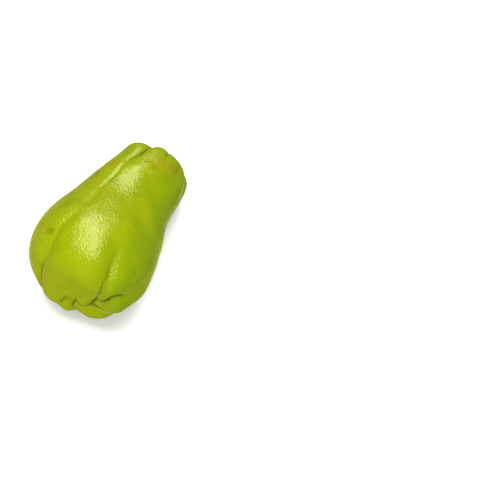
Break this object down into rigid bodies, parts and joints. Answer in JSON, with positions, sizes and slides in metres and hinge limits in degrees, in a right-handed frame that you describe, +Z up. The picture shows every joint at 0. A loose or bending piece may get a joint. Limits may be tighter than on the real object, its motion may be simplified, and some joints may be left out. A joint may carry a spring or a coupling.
{
  "type": "chayote squash",
  "caption": "Whole pear-shaped chayote squash lying on its side, with lobes folded together at the blossom end and a shallow stem cavity.",
  "frame": {"origin": "centre of the fruit's box in plan, on the surface that it lies on", "axes": "+Z up; +Y along the fruit, from the folded blossom end at -Y to the stem end at +Y; +X across its width, to the right when looking along +Y"},
  "size_m": [0.085, 0.132, 0.078],
  "materials": {
    "skin": "waxy yellow-green skin, semi-gloss, fine pebbled texture"
  },
  "bodies": {
    "root": {"chayote": "skin"}
  },
  "joints": []
}
